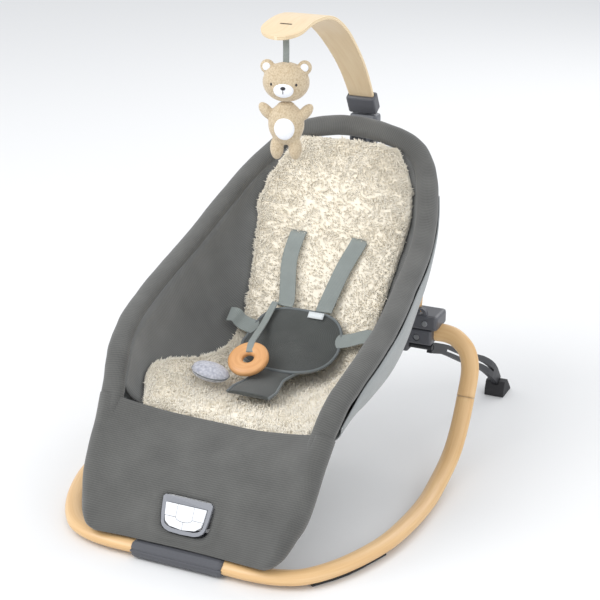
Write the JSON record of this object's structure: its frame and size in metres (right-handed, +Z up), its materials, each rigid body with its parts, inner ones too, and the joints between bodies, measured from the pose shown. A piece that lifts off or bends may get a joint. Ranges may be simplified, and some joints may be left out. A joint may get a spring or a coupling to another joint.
{
  "type": "bouncer seat",
  "caption": "Baby bouncer seat: mesh bucket with plush liner on a bent oval-tube rocker base, rear kickstand, front vibration unit, swivelling toy bar with bear, and harness pad with toy.",
  "frame": {"origin": "centre of the footprint, on the floor", "axes": "+Z up, -Y towards the foot end with the control unit, +Y towards the head end, +X to the right seen from the foot end"},
  "size_m": [0.4996, 0.709, 0.6356],
  "materials": {
    "dark_plastic": "satin",
    "black_plastic": "satin",
    "wood_tube": "satin",
    "rubber": "matte",
    "steel": "satin",
    "black_metal": "satin",
    "mesh_fabric": "matte",
    "pad_mesh": "matte",
    "light_fabric": "matte",
    "plush": "matte",
    "webbing": "matte",
    "white_fabric": "matte",
    "grey_plastic": "satin",
    "white_plastic": "satin",
    "bent_wood": "satin",
    "bear_plush": "matte",
    "ring_wood": "satin",
    "toy_fabric": "matte"
  },
  "bodies": {
    "frame": {"back_cover": "light_fabric", "battery_door": "dark_plastic", "belly_pad": "pad_mesh", "buckle": "black_plastic", "care_tag": "white_fabric", "control_bezel": "grey_plastic", "control_housing": "dark_plastic", "front_clamp_left": "dark_plastic", "front_clamp_right": "dark_plastic", "front_panel": "mesh_fabric", "front_sleeve": "dark_plastic", "hub_bolt_left": "steel", "hub_bolt_right": "steel", "hub_cover_left": "dark_plastic", "hub_cover_right": "dark_plastic", "hub_cross_tube": "black_metal", "hub_housing_left": "dark_plastic", "hub_housing_right": "dark_plastic", "hub_screw_left_inner": "steel", "hub_screw_left_outer": "steel", "hub_screw_right_inner": "steel", "hub_screw_right_outer": "steel", "rim_band": "mesh_fabric", "rocker_front_left": "wood_tube", "rocker_front_right": "wood_tube", "rocker_rear_left": "wood_tube", "rocker_rear_right": "wood_tube", "rubber_pad_left": "rubber", "rubber_pad_right": "rubber", "seat_frame_tube": "steel", "seat_sling": "mesh_fabric", "seat_stay_left": "wood_tube", "seat_stay_right": "wood_tube", "sherpa_insert": "plush", "shoulder_strap_left": "webbing", "shoulder_strap_right": "webbing", "toy_bar_bracket": "grey_plastic", "vibration_motor": "steel", "waist_belt_left": "webbing", "waist_belt_right": "webbing"},
    "kickstand": {"kickstand_rod": "black_metal", "kickstand_leg_left": "black_metal", "kickstand_leg_right": "black_metal", "kickstand_foot_left": "rubber", "kickstand_foot_right": "rubber"},
    "toy_bar_arm": {"toy_bar_socket": "dark_plastic", "toy_bar": "bent_wood"},
    "bear": {"toy_ribbon": "webbing", "bear_head": "bear_plush", "bear_body": "bear_plush"},
    "pad_toy": {"toy_strap": "webbing", "wooden_ring": "ring_wood", "leaf_toy": "toy_fabric"},
    "button_top_left_key": {"button_top_left": "white_plastic"},
    "button_top_middle_key": {"button_top_middle": "white_plastic"},
    "button_top_right_key": {"button_top_right": "white_plastic"},
    "button_bottom_left_key": {"button_bottom_left": "white_plastic"},
    "button_bottom_right_key": {"button_bottom_right": "white_plastic"},
    "motor_eccentric": {"motor_weight": "steel"}
  },
  "joints": [
    {"name": "kickstand_fold", "type": "hinge", "parent": "frame", "child": "kickstand", "pos_m": [0, 0.1085, 0.156], "axis": [1, 0, 0], "range_deg": [-100, 0]},
    {"name": "toy_bar_swivel", "type": "hinge", "parent": "frame", "child": "toy_bar_arm", "pos_m": [0, 0.2645, 0.4495], "axis": [0, 0, 1], "range_deg": [-90, 90]},
    {"name": "bear_swing", "type": "hinge", "parent": "toy_bar_arm", "child": "bear", "pos_m": [0, -0.0165, 0.6235], "axis": [1, 0, 0], "range_deg": [-30, 30]},
    {"name": "pad_toy_swing", "type": "hinge", "parent": "frame", "child": "pad_toy", "pos_m": [-0.0525, 0.0545, 0.206], "axis": [1, 0, 0], "range_deg": [-120, 0]},
    {"name": "button_top_left_press", "type": "slide", "parent": "frame", "child": "button_top_left_key", "axis": [0, 0.866, -0.5], "range_m": [0, 0.0012], "stiffness_N_per_m": 600},
    {"name": "button_top_middle_press", "type": "slide", "parent": "frame", "child": "button_top_middle_key", "axis": [0, 0.866, -0.5], "range_m": [0, 0.0012], "stiffness_N_per_m": 600},
    {"name": "button_top_right_press", "type": "slide", "parent": "frame", "child": "button_top_right_key", "axis": [0, 0.866, -0.5], "range_m": [0, 0.0012], "stiffness_N_per_m": 600},
    {"name": "button_bottom_left_press", "type": "slide", "parent": "frame", "child": "button_bottom_left_key", "axis": [0, 0.866, -0.5], "range_m": [0, 0.0012], "stiffness_N_per_m": 600},
    {"name": "button_bottom_right_press", "type": "slide", "parent": "frame", "child": "button_bottom_right_key", "axis": [0, 0.866, -0.5], "range_m": [0, 0.0012], "stiffness_N_per_m": 600},
    {"name": "motor_weight_spin", "type": "hinge", "parent": "frame", "child": "motor_eccentric", "pos_m": [0.01, -0.30506, 0.05588], "axis": [1, 0, 0], "continuous": true}
  ]
}
